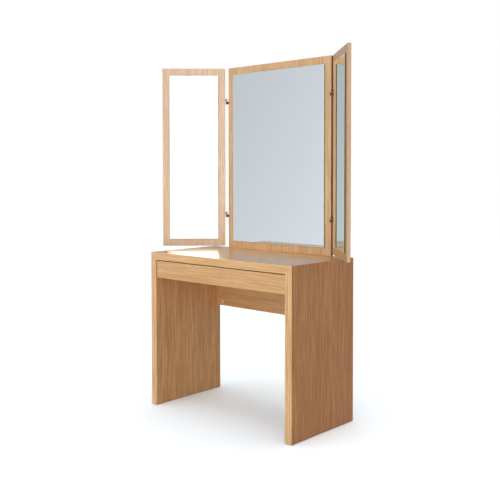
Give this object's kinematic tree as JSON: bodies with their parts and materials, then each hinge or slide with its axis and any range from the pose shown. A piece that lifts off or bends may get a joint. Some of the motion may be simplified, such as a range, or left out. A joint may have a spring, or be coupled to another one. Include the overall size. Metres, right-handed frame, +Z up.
{
  "type": "vanity table with mirror",
  "caption": "Oak vanity table with a shallow drawer under the top and a three-part folding mirror standing along its rear edge.",
  "frame": {"origin": "on the floor under the middle of the whole object's box, which is the middle of the desk from side to side and of the desk with the mirror's support bars from front to back", "axes": "+Z up; +X to the right of a person sitting at the table; +Y towards the wall behind it, so the drawer opens along -Y"},
  "size_m": [1.0662, 0.403, 1.51],
  "materials": {
    "oak_veneer": "satin lacquer over oak veneer",
    "drawer_wood": "pale sanded softwood, lightly lacquered",
    "drawer_bottom_board": "thin printed plywood",
    "dowel_beech": "raw beech",
    "mirror_glass": "silvered glass with polished edges",
    "hinge_bronze": "dark bronze plating",
    "hinge_screw": "dark bronze plating",
    "washer_brass": "plain brass",
    "bar_paint": "black powder coat",
    "rail_zinc": "zinc-plated steel strip",
    "screw_zinc": "zinc-plated steel",
    "ball_steel": "polished steel balls",
    "cam_zinc": "die-cast zinc",
    "cover_plastic": "light beige moulded plastic",
    "glide_nylon": "off-white nylon"
  },
  "bodies": {
    "root": {"cabinet_rail_screws": "screw_zinc", "cam_bolts": "screw_zinc", "cam_covers": "cover_plastic", "cam_locks": "cam_zinc", "centre_board": "oak_veneer", "centre_board_dowels": "dowel_beech", "centre_hinge_leaves": "hinge_bronze", "centre_hinge_screws": "hinge_screw", "centre_mirror": "mirror_glass", "floor_glides": "glide_nylon", "hinge_pins": "hinge_bronze", "hinge_washers": "washer_brass", "left_cabinet_rail": "rail_zinc", "left_side_panel": "oak_veneer", "left_support_bar": "bar_paint", "mitre_splines": "dowel_beech", "rear_panel": "oak_veneer", "rear_panel_dowels": "dowel_beech", "right_cabinet_rail": "rail_zinc", "right_side_panel": "oak_veneer", "right_support_bar": "bar_paint", "support_bar_screws": "screw_zinc", "top_panel": "oak_veneer"},
    "drawer": {"drawer_back": "drawer_wood", "drawer_bottom": "drawer_bottom_board", "drawer_dowels": "dowel_beech", "drawer_front": "oak_veneer", "drawer_front_screws": "screw_zinc", "drawer_inner_front": "drawer_wood", "drawer_left_side": "drawer_wood", "drawer_rail_screws": "screw_zinc", "drawer_right_side": "drawer_wood", "left_drawer_rail": "rail_zinc", "right_drawer_rail": "rail_zinc"},
    "rail_middles": {"left_middle_rail": "rail_zinc", "right_middle_rail": "rail_zinc"},
    "outer_cages": {"outer_ball_cages": "rail_zinc", "outer_balls": "ball_steel"},
    "inner_cages": {"inner_ball_cages": "rail_zinc", "inner_balls": "ball_steel"},
    "left_wing": {"left_hinge_leaves": "hinge_bronze", "left_hinge_screws": "hinge_screw", "left_wing_board": "oak_veneer", "left_wing_mirror": "mirror_glass"},
    "right_wing": {"right_hinge_leaves": "hinge_bronze", "right_hinge_screws": "hinge_screw", "right_wing_board": "oak_veneer", "right_wing_mirror": "mirror_glass"}
  },
  "joints": [
    {"name": "drawer_slide", "type": "slide", "parent": "root", "child": "drawer", "axis": [0, -1, 0], "range_m": [0, 0.28]},
    {"name": "rail_middle_slide", "type": "slide", "parent": "root", "child": "rail_middles", "axis": [0, -1, 0], "range_m": [0, 0.14]},
    {"name": "outer_cage_slide", "type": "slide", "parent": "root", "child": "outer_cages", "axis": [0, -1, 0], "range_m": [0, 0.07]},
    {"name": "inner_cage_slide", "type": "slide", "parent": "root", "child": "inner_cages", "axis": [0, -1, 0], "range_m": [0, 0.21]},
    {"name": "left_wing_fold", "type": "hinge", "parent": "root", "child": "left_wing", "pos_m": [-0.3025, 0.1775, 1.093], "axis": [0, 0, 1], "range_deg": [-73.5, 136.5]},
    {"name": "right_wing_fold", "type": "hinge", "parent": "root", "child": "right_wing", "pos_m": [0.3025, 0.1775, 1.093], "axis": [0, 0, -1], "range_deg": [-73.5, 136.5]}
  ],
  "couplings": [
    {"joint": "rail_middle_slide", "follows": "drawer_slide", "ratio": 0.5},
    {"joint": "outer_cage_slide", "follows": "drawer_slide", "ratio": 0.25},
    {"joint": "inner_cage_slide", "follows": "drawer_slide", "ratio": 0.75}
  ]
}
